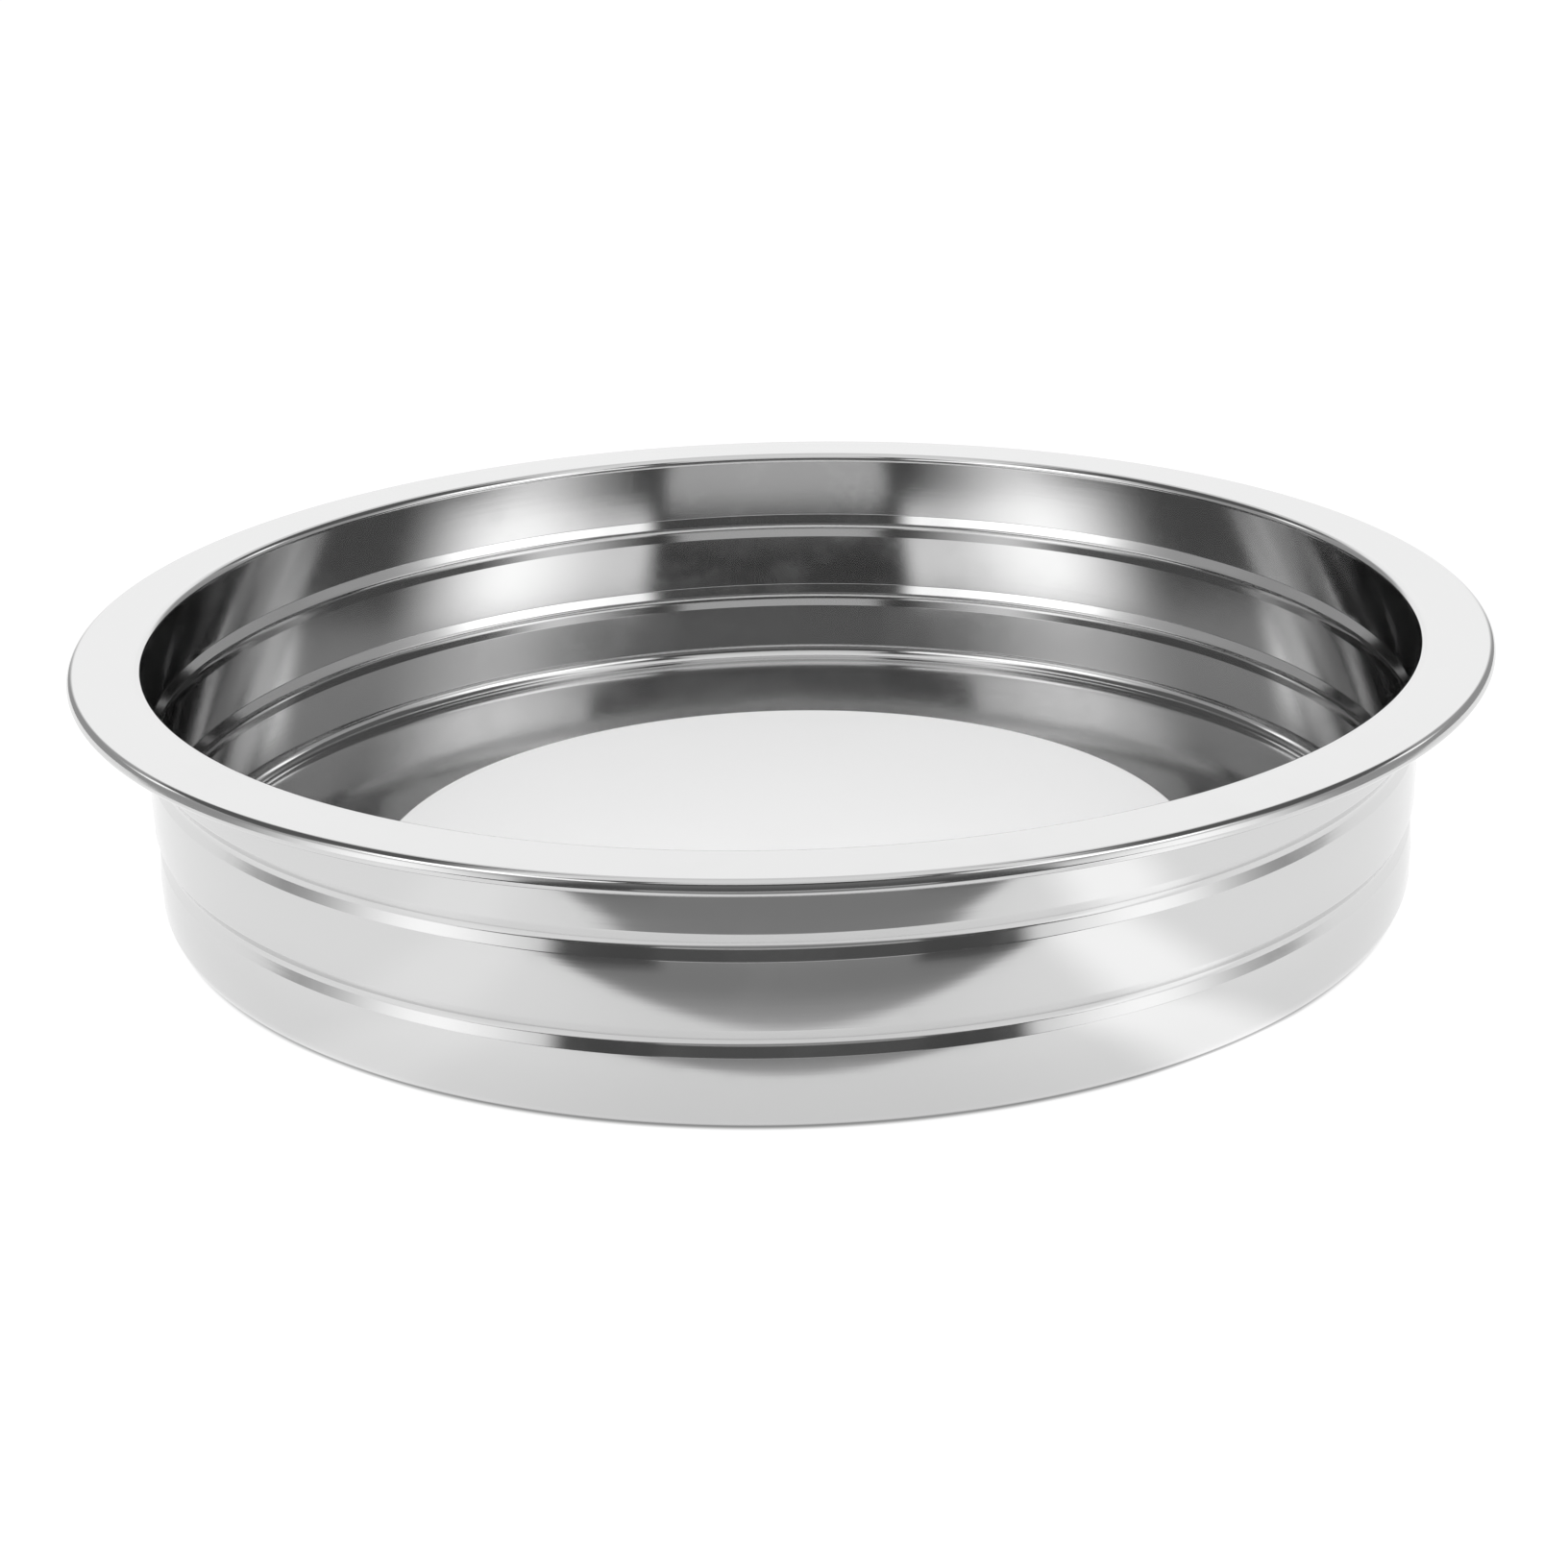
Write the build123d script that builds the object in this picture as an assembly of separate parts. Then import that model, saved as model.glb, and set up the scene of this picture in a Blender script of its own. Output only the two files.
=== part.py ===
from build123d import *
import os

# A round, flat-bottomed pan drawn from one sheet of stainless steel: a wide flat rim with a
# turned-down edge, a nearly upright wall stiffened by two inward beads, and a flat base.
# The origin is the centre of the base's underside, with +Z up. All sizes are in millimetres.

# Overall sizes
RIM_RADIUS = 160.0         # outer radius of the flat rim
PAN_HEIGHT = 58.8          # underside of the base to the top of the rim
SHEET = 0.8                # thickness of the steel

# Wall, measured on its outer face
WALL_TOP_RADIUS = 144.5    # where the wall meets the rim
WALL_BASE_RADIUS = 143.8   # where the wall meets the base, so the wall leans in by 0.7
BAND_LEAN = 0.25           # how far a band stands out at its bottom and in at its top
BASE_CORNER = 4.5          # bend between the base and the wall, outer face

# Rim, with an edge turned down and then in
RIM_BEND = 1.2             # bend between the wall and the rim, underside
LIP_BEND = 0.8             # bend at the rim's outer edge, inner face
LIP_DROP = 3.6             # rim's top face to the lowest point of the turned-down edge
LIP_CURL = 1.0             # bend where the edge turns in, inner face
LIP_TURN_IN = 1.6          # how far the edge reaches in, from the lip's inner face
LIP_ROUND = 0.3            # rounding of the lip's cut end

# Beads: shallow rounded grooves outside, which stand out as ridges inside
BEAD_HEIGHTS = [18.7, 38.7]    # middle of each bead above the base's underside
BEAD_HALF_HEIGHT = 2.9         # from the middle of a bead to either edge
BEAD_POINT = 1.3               # depth at which the two flanks would meet in a point
BEAD_ROOT_BEND = 2.0           # bend at the bottom of the groove
BEAD_EDGE_BEND = 1.2           # bend at either edge of the groove


def wall_radius(height):
    """Outer radius of the plain wall at a height above the base's underside."""
    lean = WALL_TOP_RADIUS - WALL_BASE_RADIUS
    return WALL_BASE_RADIUS + lean * height / PAN_HEIGHT


def bead_corners(height):
    """The three corners of one bead on the wall's outer face, from the bottom up."""
    low, high = height - BEAD_HALF_HEIGHT, height + BEAD_HALF_HEIGHT
    return [
        ((wall_radius(low) - BAND_LEAN, low), BEAD_EDGE_BEND),
        ((wall_radius(height) - BEAD_POINT, height), BEAD_ROOT_BEND),
        ((wall_radius(high) + BAND_LEAN, high), BEAD_EDGE_BEND),
    ]


def outer_face():
    """The sheet's under and outer face as one line in the XZ plane, from the axis to the lip."""
    underside = PAN_HEIGHT - SHEET
    lip_inside = RIM_RADIUS - SHEET
    lip_low = PAN_HEIGHT - LIP_DROP + SHEET
    corners = [((wall_radius(0), 0), BASE_CORNER)]
    for height in BEAD_HEIGHTS:
        corners += bead_corners(height)
    corners += [
        ((wall_radius(underside), underside), RIM_BEND),
        ((lip_inside, underside), LIP_BEND),
        ((lip_inside, lip_low), LIP_CURL),
    ]
    points = [(0, 0)] + [point for point, bend in corners] + [(lip_inside - LIP_TURN_IN, lip_low)]
    bends = [bend for point, bend in corners]
    return FilletPolyline(*points, radius=bends)


def sheet_section():
    """The cut through half of the pan: the outer face, thickened inwards and upwards."""
    outline = offset(outer_face(), amount=SHEET, side=Side.LEFT, closed=True)
    return make_face(outline)


def make_pan():
    """The whole pan, one drawn sheet with no seam or joint."""
    section = Plane.XZ * sheet_section()
    pan = revolve(section, axis=Axis.Z, revolution_arc=360)
    cut_radius = RIM_RADIUS - SHEET - LIP_TURN_IN
    cut_face = [
        face for face in pan.faces().filter_by(GeomType.CYLINDER) if abs(face.radius - cut_radius) < 0.01
    ]
    return fillet(cut_face[0].edges(), LIP_ROUND)


def main():
    os.makedirs("parts", exist_ok=True)
    pan = make_pan()
    pan.label = "pan"
    export_step(pan, "parts/pan.step")
    box = pan.bounding_box()
    print("pan", round(pan.volume, 1), "mm3", box.min, box.max)


main()
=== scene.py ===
import math

import bpy
from mathutils import Matrix, Vector


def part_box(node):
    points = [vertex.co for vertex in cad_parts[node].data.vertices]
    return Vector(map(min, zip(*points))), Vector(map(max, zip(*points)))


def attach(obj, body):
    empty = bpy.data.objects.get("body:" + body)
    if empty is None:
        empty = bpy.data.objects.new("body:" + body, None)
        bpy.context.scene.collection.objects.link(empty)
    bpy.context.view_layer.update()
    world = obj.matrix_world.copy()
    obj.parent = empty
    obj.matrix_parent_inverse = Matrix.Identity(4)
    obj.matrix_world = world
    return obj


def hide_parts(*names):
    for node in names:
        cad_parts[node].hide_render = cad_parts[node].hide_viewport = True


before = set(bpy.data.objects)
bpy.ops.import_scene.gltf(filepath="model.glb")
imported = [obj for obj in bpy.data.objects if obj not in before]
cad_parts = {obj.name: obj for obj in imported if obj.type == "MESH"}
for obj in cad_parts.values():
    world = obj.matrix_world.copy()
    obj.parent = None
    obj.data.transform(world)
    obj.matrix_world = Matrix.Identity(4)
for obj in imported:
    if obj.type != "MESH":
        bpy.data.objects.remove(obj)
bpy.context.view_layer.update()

# ---------------------------------------------------------------------------------------------
# Sizes, in metres. The rim and the height come from the frame, the rest is the CAD's own section.
# ---------------------------------------------------------------------------------------------
PAN_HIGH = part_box("pan")[1]
RIM_RADIUS = max(PAN_HIGH.x, PAN_HIGH.y)
PAN_HEIGHT = PAN_HIGH.z
SHEET = 0.0008

WALL_TOP_RADIUS = 0.1445
WALL_BASE_RADIUS = 0.1438
BAND_LEAN = 0.00025            # how far a band stands out at its bottom and in at its top
BASE_CORNER = 0.0045
RIM_BEND = 0.0012
LIP_BEND = 0.0008
LIP_DROP = 0.0036
LIP_CURL = 0.0010
LIP_TURN_IN = 0.0016

BEAD_HEIGHTS = [0.0187, 0.0387]
BEAD_HALF_HEIGHT = 0.0029
BEAD_POINT = 0.0013
BEAD_ROOT_BEND = 0.0020
BEAD_EDGE_BEND = 0.0012
BAND_CROWN = 0.0005            # outside, how far the corner in the middle of a band stands out
BAND_ARC = 0.92                # share of the band's half height that its arc takes
INNER_TILT = math.radians(20)  # how far down the inner face's normals are tilted, just under the rim
TILT_ENDS = math.sin(math.radians(22))     # they aren't tilted where the face slopes this much

# Mesh fineness
TURNS = 440                    # steps round the pan
ARC_STEP = math.radians(7)     # angle between points on a bend
LONGEST_SPAN = 0.012           # longest straight span between points
LIP_END_STEPS = 8              # steps round the lip's cut end

# Finish. A scale is about how many waves, lines or patches there are in a metre.
STEEL = 0.62                   # how much light the steel reflects, seen square on
CLEAR_ROUGHNESS, HAZY_ROUGHNESS = 0.10, 0.15
HAZE_SCALE = 45.0
HAZE_LOW, HAZE_HIGH = 0.45, 0.75       # the noise levels where the haze starts and is full
HAZE_DETAIL, HAZE_ROUGHNESS = 4.0, 0.65
WAVE_SCALE, WAVE_HEIGHT = 22.0, 0.00001
LINE_SCALE, LINE_HEIGHT = 900.0, 0.000004
LINE_CHANGE = 1.6              # how fast a polishing line changes on its way round
ANISOTROPY = 0.7
QUARTER_TURN = 0.25
PAINTED_REFLECTION_RADIUS = 0.0965          # the painted reflection: a matt light grey disc in the middle of the floor
PAINTED_REFLECTION_EDGE = 0.0004            # half the width of its edge
PAINTED_REFLECTION_TOP = 0.003              # it lies below this height
# painted reflection: the disc's light grey, not metal, in place of the floor's bright reflection
PAINTED_REFLECTION_GREY = 0.86
PAINTED_REFLECTION_ROUGHER = 0.34           # how much rougher it is than the steel

# Camera, aimed from the pan's own size
CAMERA_DISTANCE = 4.18 * RIM_RADIUS        # from the middle of the rim
CAMERA_ELEVATION = math.radians(17.42)     # of the camera above the rim's plane
CAMERA_DIP = math.radians(3.39)            # how far below the middle of the rim it aims
CAMERA_ROLL = math.radians(1.48)
CAMERA_LENS = 66.84
SENSOR = 36.0
CLIP_START, CLIP_END = 0.01, 50.0


# ---------------------------------------------------------------------------------------------
# The sheet's section
# ---------------------------------------------------------------------------------------------
def wall_radius(height):
    """Outer radius of the plain wall at a height."""
    lean = WALL_TOP_RADIUS - WALL_BASE_RADIUS
    return WALL_BASE_RADIUS + lean * height / PAN_HEIGHT


def bead_corners(height):
    """The three corners of one bead, from the bottom up: radius, height, bend."""
    low, high = height - BEAD_HALF_HEIGHT, height + BEAD_HALF_HEIGHT
    return [
        (wall_radius(low) - BAND_LEAN, low, BEAD_EDGE_BEND),
        (wall_radius(height) - BEAD_POINT, height, BEAD_ROOT_BEND),
        (wall_radius(high) + BAND_LEAN, high, BEAD_EDGE_BEND),
    ]


def band_corner(low, high, crown):
    """The corner that makes the wall between two heights bulge, in one arc."""
    middle = (low + high) / 2
    lean = math.atan(crown / ((high - low) / 2))
    bend = BAND_ARC * (high - low) / 2 / math.sin(lean)
    return (wall_radius(middle) + crown, middle, bend)


def face_corners(crown):
    """Corners of the under and outer face from the axis to the lip's end: radius, height, bend."""
    underside, lip_inside = PAN_HEIGHT - SHEET, RIM_RADIUS - SHEET
    lip_low = PAN_HEIGHT - LIP_DROP + SHEET
    corners = [(0.0, 0.0, 0.0), (wall_radius(0), 0.0, BASE_CORNER)]
    band_low = BASE_CORNER
    for height in BEAD_HEIGHTS:
        if crown:
            corners.append(band_corner(band_low, height - BEAD_HALF_HEIGHT, crown))
        corners += bead_corners(height)
        band_low = height + BEAD_HALF_HEIGHT
    if crown:
        corners.append(band_corner(band_low, underside - RIM_BEND, crown))
    return corners + [
        (wall_radius(underside), underside, RIM_BEND),
        (lip_inside, underside, LIP_BEND),
        (lip_inside, lip_low, LIP_CURL),
        (lip_inside - LIP_TURN_IN, lip_low, 0.0),
    ]


def left_of(direction):
    """A direction in the section, turned a quarter to the left."""
    return Vector((-direction.y, direction.x))


def bent_line(corners):
    """Points along a line of straight runs and tangent arcs, each with its left-hand normal."""
    spots = [Vector(corner[:2]) for corner in corners]
    found = [(spots[0], left_of((spots[1] - spots[0]).normalized()))]
    for before, here, after, corner in zip(spots, spots[1:], spots[2:], corners[1:]):
        way_in, way_out = (here - before).normalized(), (after - here).normalized()
        turn = math.atan2(way_in.x * way_out.y - way_in.y * way_out.x, way_in.dot(way_out))
        bend = corner[2]
        start = here - way_in * bend * math.tan(abs(turn) / 2)
        centre = start + left_of(way_in) * math.copysign(bend, turn)
        add_run(found, start, left_of(way_in))
        steps = max(2, math.ceil(abs(turn) / ARC_STEP))
        for step in range(1, steps + 1):
            spin = Matrix.Rotation(turn * step / steps, 2)
            found.append((centre + spin @ (start - centre), spin @ left_of(way_in)))
    add_run(found, spots[-1], found[-1][1])
    return found


def add_run(found, end, normal):
    """A straight run from the last point to end, in spans no longer than LONGEST_SPAN."""
    start = found[-1][0]
    spans = max(1, math.ceil((end - start).length / LONGEST_SPAN))
    for span in range(1, spans + 1):
        found.append((start.lerp(end, span / spans), normal))


def looking_down(spot, normal):
    """The normal that the inner face is shaded with: tilted down where the face is upright."""
    if spot.x < wall_radius(0) - BASE_CORNER:
        return normal
    upright = max(0.0, 1.0 - abs(normal.y) / TILT_ENDS)
    tilt = INNER_TILT * upright * spot.y / PAN_HEIGHT
    return Matrix.Rotation(tilt, 2) @ normal


def section():
    """The whole outline: out along the outer face, round the lip's end, back along the inner."""
    outer = bent_line(face_corners(BAND_CROWN))
    inner = [
        (spot + normal * SHEET, looking_down(spot, normal)) for spot, normal in bent_line(face_corners(0.0))
    ]
    end, across = outer[-1]
    middle = end + across * SHEET / 2
    lip_end = []
    for step in range(1, LIP_END_STEPS):
        angle = math.pi * step / LIP_END_STEPS
        way = -left_of(across) * math.sin(angle) - across * math.cos(angle)
        lip_end.append((middle + way * SHEET / 2, way))
    outline = [(spot, -normal) for spot, normal in outer]
    return outline + lip_end + list(reversed(inner))


# ---------------------------------------------------------------------------------------------
# The pan
# ---------------------------------------------------------------------------------------------
def turned_mesh(name, outline):
    """A mesh of the outline turned round the Z axis. Its first and last points lie on the axis."""
    ring = outline[1:-1]
    spots, normals, faces = [], [], []
    for spot, normal in ring:
        for turn in range(TURNS):
            angle = 2 * math.pi * turn / TURNS
            side, front = math.cos(angle), math.sin(angle)
            spots.append((spot.x * side, spot.x * front, spot.y))
            normals.append((normal.x * side, normal.x * front, normal.y))
    for row in range(len(ring) - 1):
        for turn in range(TURNS):
            here, there = row * TURNS + turn, row * TURNS + (turn + 1) % TURNS
            faces.append((here, there, there + TURNS, here + TURNS))
    for (spot, normal), row in ((outline[0], 0), (outline[-1], len(ring) - 1)):
        pole = len(spots)
        spots.append((0, 0, spot.y))
        normals.append((0, 0, normal.y))
        for turn in range(TURNS):
            pair = (row * TURNS + turn, row * TURNS + (turn + 1) % TURNS)
            faces.append((pole, pair[1], pair[0]) if row == 0 else (pole, *pair))
    mesh = bpy.data.meshes.new(name)
    mesh.from_pydata(spots, [], faces)
    mesh.validate()
    mesh.polygons.foreach_set("use_smooth", [True] * len(mesh.polygons))
    mesh.normals_split_custom_set_from_vertices(normals)
    return mesh


def add_object(name, data):
    """An object with this mesh, light or camera, linked to the scene."""
    made = bpy.data.objects.new(name, data)
    bpy.context.scene.collection.objects.link(made)
    return made


def make_pan(material):
    """The whole pan, one sheet, in place of the CAD's."""
    pan = add_object("pan_sheet", turned_mesh("pan_sheet", section()))
    pan.data.materials.append(material)
    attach(pan, "root")
    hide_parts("pan")


# ---------------------------------------------------------------------------------------------
# Materials
# ---------------------------------------------------------------------------------------------
class Nodes:
    """A short way to add and link shader nodes. An input goes by its label, or by i and its place."""

    def __init__(self, tree):
        self.tree = tree
        self.tree.nodes.clear()

    def add(self, kind, settings=None, **inputs):
        """A node of this kind. A label's spaces are written as underscores."""
        node = self.tree.nodes.new(kind)
        for key, value in (settings or {}).items():
            setattr(node, key, value)
        for key, value in inputs.items():
            self.put(node, key.replace("_", " "), value)
        return node

    def put(self, node, key, value):
        socket = node.inputs[int(key[1:])] if key[0] == "i" and key[1:].isdigit() else node.inputs[key]
        if isinstance(value, bpy.types.NodeSocket):
            self.tree.links.new(value, socket)
        else:
            socket.default_value = value

    def math(self, operation, first, second=0.0, third=0.0):
        node = self.add("ShaderNodeMath", {"operation": operation}, i0=first, i1=second, i2=third)
        return node.outputs[0]

    def ramp(self, value, low, high, to_low, to_high):
        """to_low up to where value is low, to_high from where it is high, and smooth between."""
        settings = {"interpolation_type": "SMOOTHSTEP"}
        node = self.add("ShaderNodeMapRange", settings, i0=value, i1=low, i2=high, i3=to_low, i4=to_high)
        return node.outputs[0]

    def noise(self, vector, scale, detail=2.0, roughness=0.5):
        node = self.add("ShaderNodeTexNoise", Vector=vector, Scale=scale, Detail=detail, Roughness=roughness)
        return node.outputs[0]


def steel():
    """Polished stainless steel, with turned polishing lines and a painted reflection in the floor: a matt
    light grey disc.
    """
    material = bpy.data.materials.new("polished_steel")
    material.use_nodes = True
    kit = Nodes(material.node_tree)
    place = kit.add("ShaderNodeTexCoord").outputs["Object"]
    parts = kit.add("ShaderNodeSeparateXYZ", Vector=place).outputs
    flat = kit.add("ShaderNodeCombineXYZ", X=parts["X"], Y=parts["Y"], Z=0.0).outputs[0]
    radius = kit.add("ShaderNodeVectorMath", {"operation": "LENGTH"}, i0=flat).outputs["Value"]
    round_way = kit.add("ShaderNodeVectorMath", {"operation": "NORMALIZE"}, i0=flat).outputs[0]
    # Distance along the section: it changes across the floor, up the wall and across the rim alike.
    across = kit.math("SUBTRACT", parts["Z"], radius)
    way = kit.add("ShaderNodeSeparateXYZ", Vector=round_way).outputs
    lines_x = kit.math("MULTIPLY", way["X"], LINE_CHANGE)
    lines_y = kit.math("MULTIPLY", way["Y"], LINE_CHANGE)
    lines_z = kit.math("MULTIPLY", across, LINE_SCALE)
    lines_at = kit.add("ShaderNodeCombineXYZ", X=lines_x, Y=lines_y, Z=lines_z).outputs[0]
    lines = kit.noise(lines_at, 1.0, detail=3.0)
    waves = kit.noise(place, WAVE_SCALE, detail=1.0)
    wave_bump = kit.add("ShaderNodeBump", Strength=1.0, Distance=WAVE_HEIGHT, Height=waves).outputs[0]
    line_bump = kit.add("ShaderNodeBump", Strength=1.0, Distance=LINE_HEIGHT, Height=lines, Normal=wave_bump)

    # The painted reflection, a matt light grey disc, lies on the upper face of the floor only.
    inside = kit.ramp(radius, PAINTED_REFLECTION_RADIUS - PAINTED_REFLECTION_EDGE, PAINTED_REFLECTION_RADIUS + PAINTED_REFLECTION_EDGE, 1.0, 0.0)
    low = kit.math("LESS_THAN", parts["Z"], PAINTED_REFLECTION_TOP)
    upper = kit.math("GREATER_THAN", parts["Z"], SHEET / 2)
    painted_reflection = kit.math("MULTIPLY", inside, kit.math("MULTIPLY", low, upper))
    grey = kit.math("MULTIPLY_ADD", painted_reflection, PAINTED_REFLECTION_GREY - STEEL, STEEL)
    colour = kit.add("ShaderNodeCombineXYZ", X=grey, Y=grey, Z=grey).outputs[0]

    haze = kit.noise(place, HAZE_SCALE, HAZE_DETAIL, HAZE_ROUGHNESS)
    polish = kit.ramp(haze, HAZE_LOW, HAZE_HIGH, CLEAR_ROUGHNESS, HAZY_ROUGHNESS)
    # The turned lines spread a reflection across themselves, so up and down the wall.
    round_the_pan = kit.add("ShaderNodeTangent", {"direction_type": "RADIAL", "axis": "Z"}).outputs[0]
    # In the painted reflection the surface is not metal, and rougher.
    shader = kit.add(
        "ShaderNodeBsdfPrincipled",
        Base_Color=colour,
        Metallic=kit.math("SUBTRACT", 1.0, painted_reflection),
        Roughness=kit.math("MULTIPLY_ADD", painted_reflection, PAINTED_REFLECTION_ROUGHER, polish),
        Anisotropic=ANISOTROPY,
        Anisotropic_Rotation=QUARTER_TURN,
        Tangent=round_the_pan,
        Normal=line_bump.outputs[0],
    )
    kit.add("ShaderNodeOutputMaterial", Surface=shader.outputs[0])
    return material


# ---------------------------------------------------------------------------------------------
# Studio: the brightness of what the steel reflects, by direction from the pan. All angles are in
# degrees, round the pan from the front, -Y, to either side, or above the horizon.
# ---------------------------------------------------------------------------------------------
# A level that changes with the height: the level at the horizon, then where each change starts and
# ends above it, and the level it changes to.
MIDDLE_LIGHT = (0.5, (1, 6, 0.10), (16, 20, 0.20), (30, 33, 0.06), (44, 48, 0.85))
DARK_LIGHT = (0.08, (16, 20, 0.24), (30, 33, 0.07))
SOFTBOX_LIGHT = (1.5, (14, 20, 0.9), (30, 33, 2.6), (44, 48, 1.45))
SOFTBOX_RISE = (0.6, (14, 20, 0.35), (30, 33, 0.6), (44, 48, 0.15))    # its start, beside its middle
SIDE_LIGHT = (0.4, (22, 25, 0.45), (31, 34, 0.13))
STRIP_LIGHT = (0.0, (22, 25, 1.3), (31, 34, 0.0))
BACK_LIGHT = (1.2, (14, 20, 1.27), (28, 34, 0.9))
TOP_LIGHT = 1.0
# The angle where each part ends, which changes with the height in the same way.
MIDDLE_EDGE = (22, (44, 48, 27))
DARK_EDGE = (39, (14, 18, 31), (30, 33, 28), (44, 48, 36))
SOFTBOX_END = (94, (44, 48, 80))
EDGE_SOFTNESS = 1.72
SOFTBOX_START = 35
SOFTBOX_MIDDLE = 62
STRIP_AT, STRIP_WIDTH = 124, 10
BACK_START, BACK_SOFTNESS = 157, 6.88
TOP_START, TOP_END = 59.1, 70.6        # above the horizon

FLOOR_REACH = 8.0
FLOOR_LIGHT = 0.96
FLOOR_PAINT = 0.12             # share of the light on it that the floor scatters
FRONT_DIP = 0.11               # painted shade: how much dimmer the floor's glow is straight in front
DIP_START, DIP_END = 8, 34
LEFT_LOBE, RIGHT_LOBE = 0.08, 0.34     # painted pools of light: extra glow on the floor in line with the softboxes
LOBE_AT, LOBE_CORE, LOBE_WIDTH = 38, 2, 10
CONTACT_RADIUS = 0.1418        # where the painted contact shade on the floor starts, under the pan's edge
CONTACT_SOFTNESS = 0.001
CONTACT_LIGHT = 0.25           # share of the floor's own light that is left in the painted contact shade

# The dim part of the floor in front, by distance in front of the axis and aside of it
SHADE_START = 0.178            # how far in front it starts
SHADE_SLOPE = 0.58             # how fast its edge falls back, going aside
SHADE_ROUND = 0.03             # how round its edge is in front of the axis
SHADE_FADE = (-0.004, 0.008)   # where it starts to show and shows in full, past its edge
SHADE_DARK = 0.08
WAIST_AT = 0.2595              # where its grey middle is narrowest
WAIST_HALF_WIDTH = 0.0698
NEAR_SLOPE, FAR_SLOPE = 1.6, 0.40      # how fast the middle widens before and past the waist
WAIST_SOFTNESS = 0.008
# The level of the grey middle, which changes with the distance in front.
GREY_LIGHT = (0.46, (0.175, 0.225, 0.27), (0.27, 0.45, 0.52))
SHADE_REACH, SHADE_NEAR = 3.0, 0.16    # the plane it is on
SHADE_HEIGHT = 0.0005

OVERHEAD_POWER = 10.5
OVERHEAD_SIZE = 1.2
OVERHEAD_HEIGHT = 1.5


def turn_from_front(kit, parts):
    """The angle round the pan from the front, the same to the left and to the right."""
    ahead = kit.math("MULTIPLY", parts["Y"], -1.0)
    return kit.math("DEGREES", kit.math("ABSOLUTE", kit.math("ARCTAN2", parts["X"], ahead)))


def mix(kit, first, second, share):
    """first where share is 0, second where it is 1."""
    change = kit.math("SUBTRACT", second, first)
    return kit.math("MULTIPLY_ADD", change, share, first)


def levels(kit, value, steps):
    """A level that starts at the first of the steps and changes with value at each of the others."""
    level = before = steps[0]
    for low, high, after in steps[1:]:
        level = kit.math("ADD", level, kit.ramp(value, low, high, 0.0, after - before))
        before = after
    return level


def front_light(kit, turn, rise):
    """The dim front: its middle, and a dark part on either side."""
    past_middle = kit.math("SUBTRACT", turn, levels(kit, rise, MIDDLE_EDGE))
    off_middle = kit.ramp(past_middle, -EDGE_SOFTNESS, EDGE_SOFTNESS, 0.0, 1.0)
    return mix(kit, levels(kit, rise, MIDDLE_LIGHT), levels(kit, rise, DARK_LIGHT), off_middle)


def softbox_light(kit, turn, rise):
    """A softbox on either side of the front. It is less bright where it starts."""
    to_middle = kit.ramp(turn, SOFTBOX_START, SOFTBOX_MIDDLE, 0.0, 1.0)
    share = mix(kit, levels(kit, rise, SOFTBOX_RISE), 1.0, to_middle)
    return kit.math("MULTIPLY", levels(kit, rise, SOFTBOX_LIGHT), share)


def side_light(kit, turn, rise):
    """The sides past the softboxes, each with a narrow upright strip of light."""
    off_strip = kit.math("ABSOLUTE", kit.math("SUBTRACT", turn, STRIP_AT))
    in_strip = kit.ramp(off_strip, 0.0, STRIP_WIDTH, 1.0, 0.0)
    strip = kit.math("MULTIPLY", levels(kit, rise, STRIP_LIGHT), in_strip)
    return kit.math("ADD", levels(kit, rise, SIDE_LIGHT), strip)


def make_world():
    """Soft white light, with a dim front between two softboxes. The camera sees plain white."""
    world = bpy.data.worlds.new("studio")
    world.use_nodes = True
    kit = Nodes(world.node_tree)
    way = kit.add("ShaderNodeTexCoord").outputs["Generated"]
    parts = kit.add("ShaderNodeSeparateXYZ", Vector=way).outputs
    turn = turn_from_front(kit, parts)
    rise = kit.math("DEGREES", kit.math("ARCSINE", parts["Z"]))

    past_softbox = kit.ramp(turn, SOFTBOX_MIDDLE, levels(kit, rise, SOFTBOX_END), 0.0, 1.0)
    sides = mix(kit, softbox_light(kit, turn, rise), side_light(kit, turn, rise), past_softbox)
    in_back = kit.ramp(turn, BACK_START - BACK_SOFTNESS, BACK_START + BACK_SOFTNESS, 0.0, 1.0)
    sides = mix(kit, sides, levels(kit, rise, BACK_LIGHT), in_back)
    past_dark = kit.math("SUBTRACT", turn, levels(kit, rise, DARK_EDGE))
    out_of_dark = kit.ramp(past_dark, -EDGE_SOFTNESS, 2 * EDGE_SOFTNESS, 0.0, 1.0)
    round_about = mix(kit, front_light(kit, turn, rise), sides, out_of_dark)
    on_top = kit.ramp(rise, TOP_START, TOP_END, 0.0, 1.0)
    seen = mix(kit, round_about, TOP_LIGHT, on_top)

    camera_ray = kit.add("ShaderNodeLightPath").outputs["Is Camera Ray"]
    strength = mix(kit, seen, 1.0, camera_ray)
    light = kit.add("ShaderNodeBackground", Color=(1, 1, 1, 1), Strength=strength)
    kit.add("ShaderNodeOutputWorld", Surface=light.outputs[0])
    bpy.context.scene.world = world


def add_plane(name, low, high, height):
    """A level plane of the studio between two corners."""
    corners = [(low[0], low[1]), (high[0], low[1]), (high[0], high[1]), (low[0], high[1])]
    mesh = bpy.data.meshes.new(name)
    mesh.from_pydata([(x, y, height) for x, y in corners], [], [(0, 1, 2, 3)])
    plane = add_object(name, mesh)
    return plane


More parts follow.
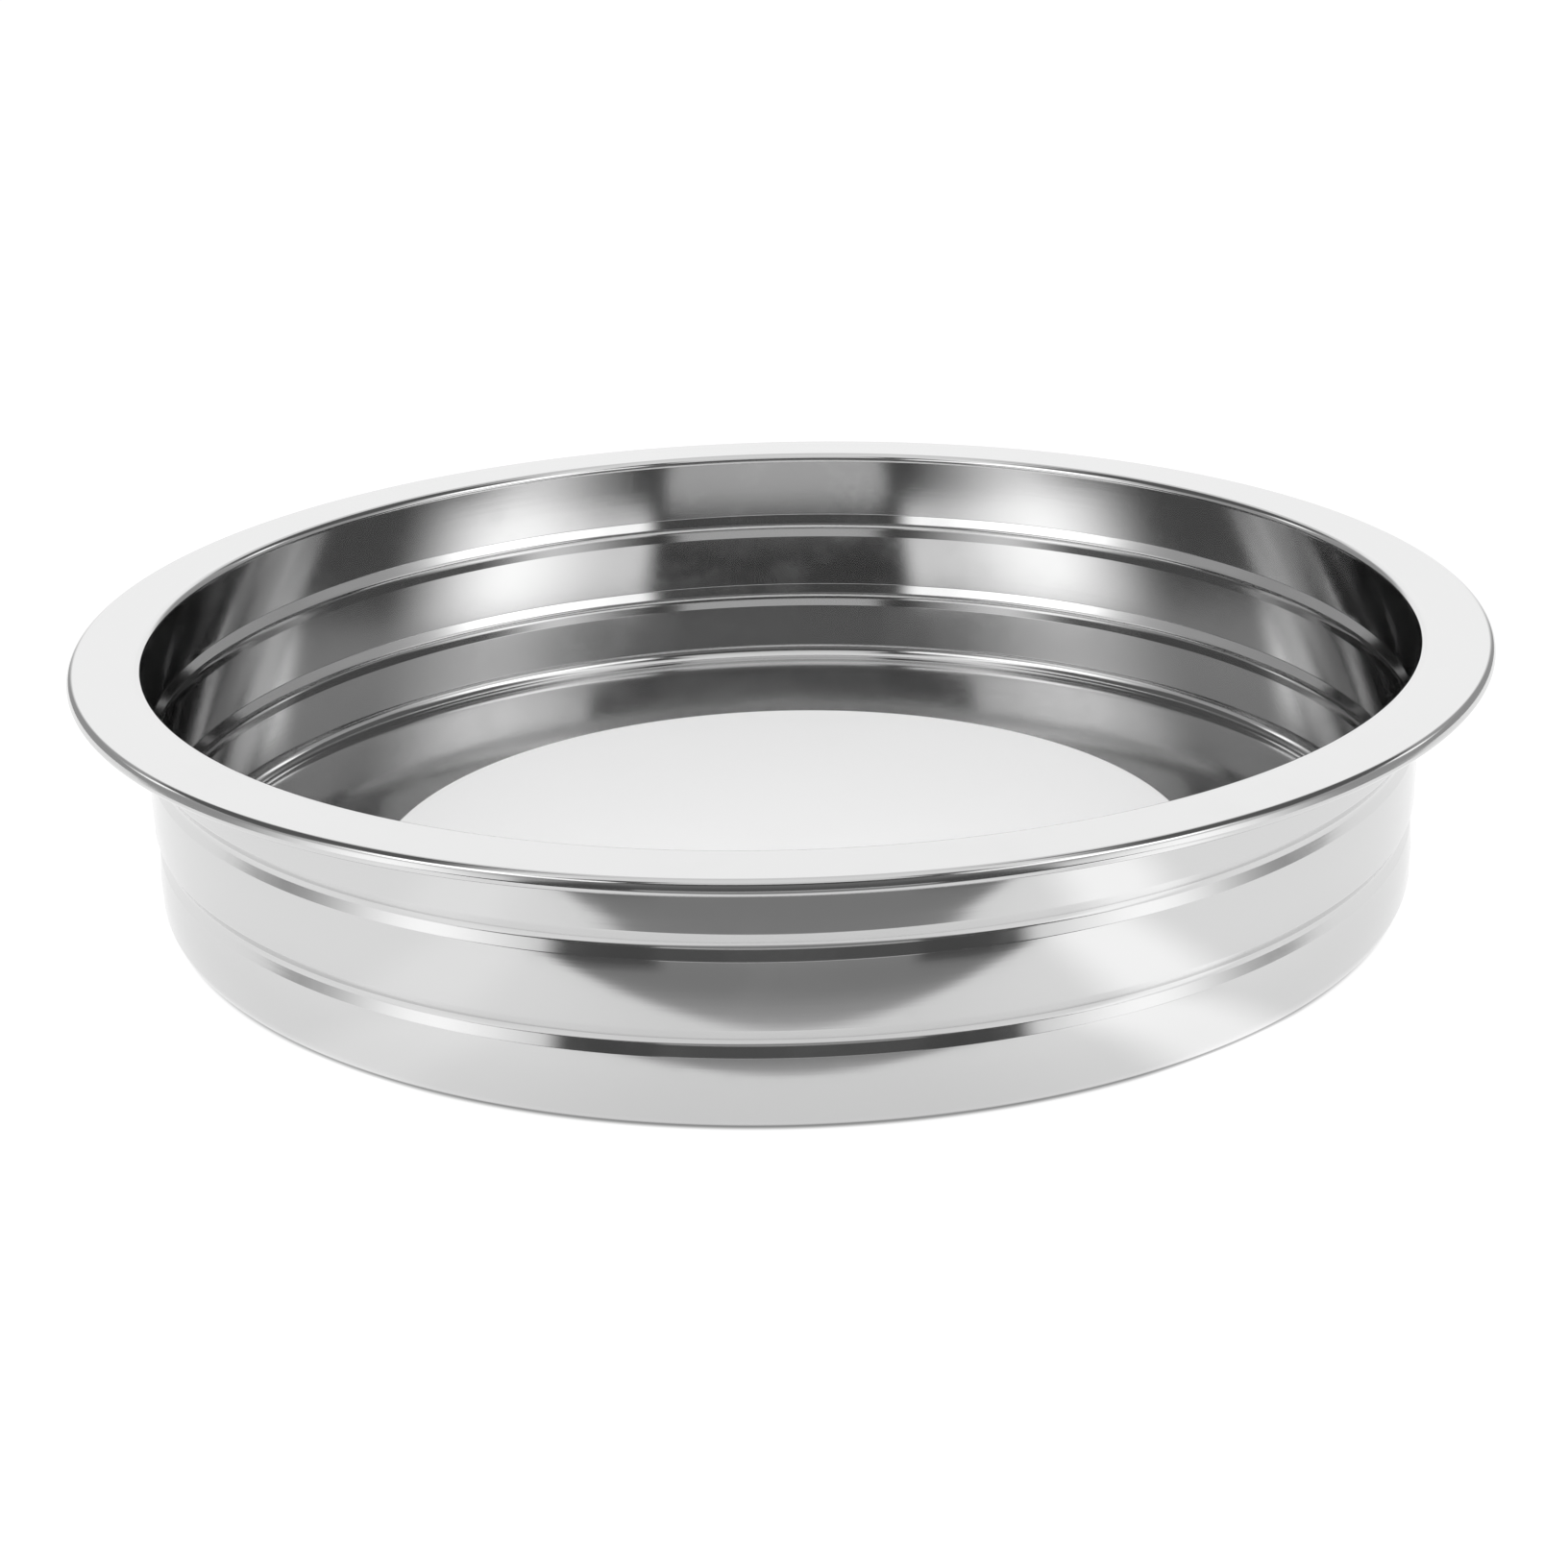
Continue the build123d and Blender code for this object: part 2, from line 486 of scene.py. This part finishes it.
def make_floor():
    """A plain white glowing floor, with painted pools of light in line with the softboxes, painted shade
    straight in front and painted contact shade under the pan's edge.
    """
    material = bpy.data.materials.new("floor")
    material.use_nodes = True
    kit = Nodes(material.node_tree)
    place = kit.add("ShaderNodeTexCoord").outputs["Object"]
    parts = kit.add("ShaderNodeSeparateXYZ", Vector=place).outputs
    turn = turn_from_front(kit, parts)
    # Painted pools of light in line with the softboxes.
    off_lobe = kit.math("ABSOLUTE", kit.math("SUBTRACT", turn, LOBE_AT))
    in_lobe = kit.ramp(off_lobe, LOBE_CORE, LOBE_WIDTH, 1.0, 0.0)
    right = kit.math("GREATER_THAN", parts["X"], 0.0)
    lobe = kit.math("MULTIPLY", mix(kit, LEFT_LOBE, RIGHT_LOBE, right), in_lobe)
    # Painted shade straight in front, seen only in the steel: the camera sees the floor without the dip.
    camera_ray = kit.add("ShaderNodeLightPath").outputs["Is Camera Ray"]
    dip = mix(kit, kit.ramp(turn, DIP_START, DIP_END, FRONT_DIP, 0.0), 0.0, camera_ray)
    lit = kit.math("SUBTRACT", kit.math("ADD", FLOOR_LIGHT, lobe), dip)
    # Painted contact shade: the floor's glow is dimmed under the pan's edge.
    radius = kit.add("ShaderNodeVectorMath", {"operation": "LENGTH"}, i0=place).outputs["Value"]
    outside = CONTACT_RADIUS + CONTACT_SOFTNESS
    open_floor = kit.ramp(radius, CONTACT_RADIUS - CONTACT_SOFTNESS, outside, CONTACT_LIGHT, 1.0)
    strength = kit.math("MULTIPLY", lit, open_floor)
    paint = kit.add("ShaderNodeBsdfDiffuse", Color=(FLOOR_PAINT, FLOOR_PAINT, FLOOR_PAINT, 1.0))
    glow = kit.add("ShaderNodeEmission", Color=(1, 1, 1, 1), Strength=strength)
    both = kit.add("ShaderNodeAddShader", i0=paint.outputs[0], i1=glow.outputs[0])
    kit.add("ShaderNodeOutputMaterial", Surface=both.outputs[0])
    floor = add_plane("floor", (-FLOOR_REACH, -FLOOR_REACH), (FLOOR_REACH, FLOOR_REACH), 0.0)
    floor.data.materials.append(material)


def make_shade():
    """The dim part of the floor in front, which only the steel sees."""
    material = bpy.data.materials.new("shade")
    material.use_nodes = True
    kit = Nodes(material.node_tree)
    place = kit.add("ShaderNodeTexCoord").outputs["Object"]
    parts = kit.add("ShaderNodeSeparateXYZ", Vector=place).outputs
    ahead = kit.math("MULTIPLY", parts["Y"], -1.0)
    aside = kit.math("ABSOLUTE", parts["X"])
    # The edge is a hyperbola that opens away from the pan.
    squares = kit.math("MULTIPLY_ADD", aside, aside, SHADE_ROUND * SHADE_ROUND)
    bow = kit.math("SUBTRACT", kit.math("SQRT", squares), SHADE_ROUND)
    edge = kit.math("MULTIPLY_ADD", bow, SHADE_SLOPE, SHADE_START)
    cover = kit.ramp(kit.math("SUBTRACT", ahead, edge), *SHADE_FADE, 0.0, 1.0)
    # The grey middle narrows to its waist, then widens again, with dark wings on either side.
    past_waist = kit.math("SUBTRACT", ahead, WAIST_AT)
    narrowing = kit.math("MULTIPLY_ADD", past_waist, -NEAR_SLOPE, WAIST_HALF_WIDTH)
    widening = kit.math("MULTIPLY_ADD", past_waist, FAR_SLOPE, WAIST_HALF_WIDTH)
    past_middle = kit.math("SUBTRACT", aside, kit.math("MAXIMUM", narrowing, widening))
    middle = kit.ramp(past_middle, -WAIST_SOFTNESS, WAIST_SOFTNESS, 1.0, 0.0)
    shown = mix(kit, SHADE_DARK, levels(kit, ahead, GREY_LIGHT), middle)
    glow = kit.add("ShaderNodeEmission", Color=(1, 1, 1, 1), Strength=shown)
    clear = kit.add("ShaderNodeBsdfTransparent")
    both = kit.add("ShaderNodeMixShader", i0=cover, i1=clear.outputs[0], i2=glow.outputs[0])
    kit.add("ShaderNodeOutputMaterial", Surface=both.outputs[0])
    shade = add_plane("shade", (-SHADE_REACH, -SHADE_REACH), (SHADE_REACH, -SHADE_NEAR), SHADE_HEIGHT)
    shade.data.materials.append(material)
    shade.visible_camera = False
    shade.visible_diffuse = False
    shade.visible_shadow = False


def make_overhead():
    """A soft light above, for the disc of painted reflection. The polished steel doesn't mirror it."""
    light = bpy.data.lights.new("overhead", "AREA")
    light.energy = OVERHEAD_POWER
    light.size = OVERHEAD_SIZE
    overhead = add_object("overhead", light)
    overhead.location = (0, 0, OVERHEAD_HEIGHT)
    overhead.visible_glossy = False
    overhead.visible_camera = False


# ---------------------------------------------------------------------------------------------
# Camera
# ---------------------------------------------------------------------------------------------
def make_camera():
    """In front of the pan and above it, aimed a little below the middle of the rim."""
    data = bpy.data.cameras.new("camera")
    data.sensor_width = SENSOR
    data.lens = CAMERA_LENS
    data.clip_start, data.clip_end = CLIP_START, CLIP_END
    camera = add_object("camera", data)
    out = CAMERA_DISTANCE * math.cos(CAMERA_ELEVATION)
    up = CAMERA_DISTANCE * math.sin(CAMERA_ELEVATION)
    down = CAMERA_ELEVATION + CAMERA_DIP
    aim = Vector((0, math.cos(down), -math.sin(down)))
    look = aim.to_track_quat("-Z", "Y").to_matrix().to_4x4()
    roll = Matrix.Rotation(-CAMERA_ROLL, 4, "Z")
    camera.matrix_world = Matrix.Translation((0, -out, PAN_HEIGHT + up)) @ look @ roll
    bpy.context.scene.camera = camera


def main():
    bpy.context.scene.view_settings.view_transform = "Standard"
    make_world()
    make_floor()
    make_shade()
    make_overhead()
    make_pan(steel())
    make_camera()


main()
